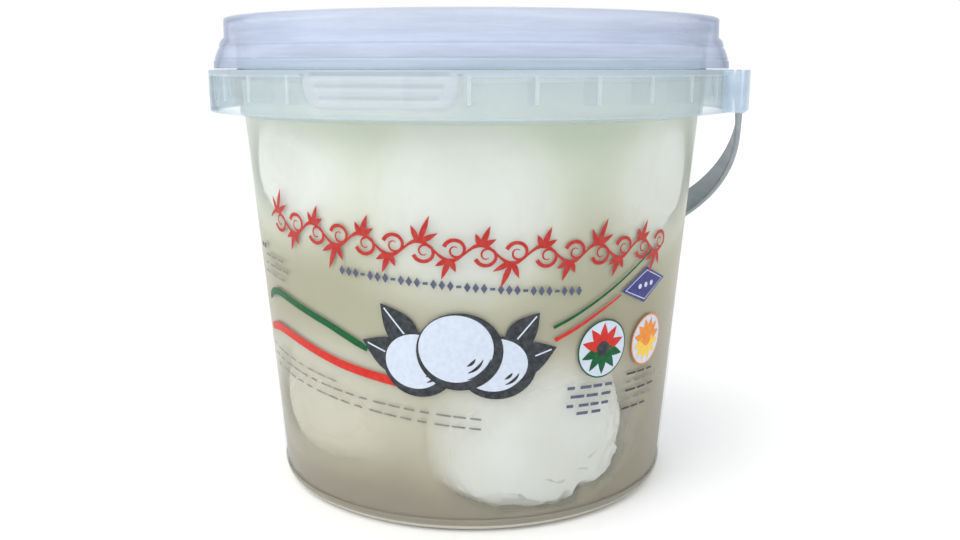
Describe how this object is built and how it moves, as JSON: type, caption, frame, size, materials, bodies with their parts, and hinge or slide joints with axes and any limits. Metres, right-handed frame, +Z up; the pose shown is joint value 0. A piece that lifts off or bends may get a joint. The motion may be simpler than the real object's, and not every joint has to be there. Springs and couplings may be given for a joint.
{
  "type": "mozzarella tub",
  "caption": "Round see-through plastic tub of mozzarella balls in whey, with a press-on lid, a skirted collar with a tamper tab, and a bail handle that swings on two ears.",
  "frame": {"origin": "on the tub's axis, level with its feet", "axes": "+Z up along the tub's axis; +X along the handle's pivots; the tamper tab faces -Y, and the handle rests behind the tub at +Y"},
  "size_m": [0.14, 0.133, 0.1178],
  "materials": {
    "tub_plastic": "thin translucent moulded polypropylene, satin",
    "lid_plastic": "translucent bluish moulded plastic, satin",
    "handle_plastic": "translucent grey moulded plastic strap",
    "cheese": "moist, soft, smooth white cheese skin",
    "whey": "cloudy pale whey",
    "print": "flat screen-printed inks on the wall"
  },
  "bodies": {
    "pack": {"tub": "tub_plastic", "lid": "lid_plastic", "ball_front_top": "cheese", "ball_front_bottom": "cheese", "ball_left_top": "cheese", "ball_right_top": "cheese", "ball_left_bottom": "cheese"},
    "bail": {"handle": "handle_plastic"}
  },
  "joints": [
    {"name": "handle_swing", "type": "hinge", "parent": "pack", "child": "bail", "pos_m": [0, 0, 0.1012], "axis": [1, 0, 0], "range_deg": [0, 172]}
  ]
}
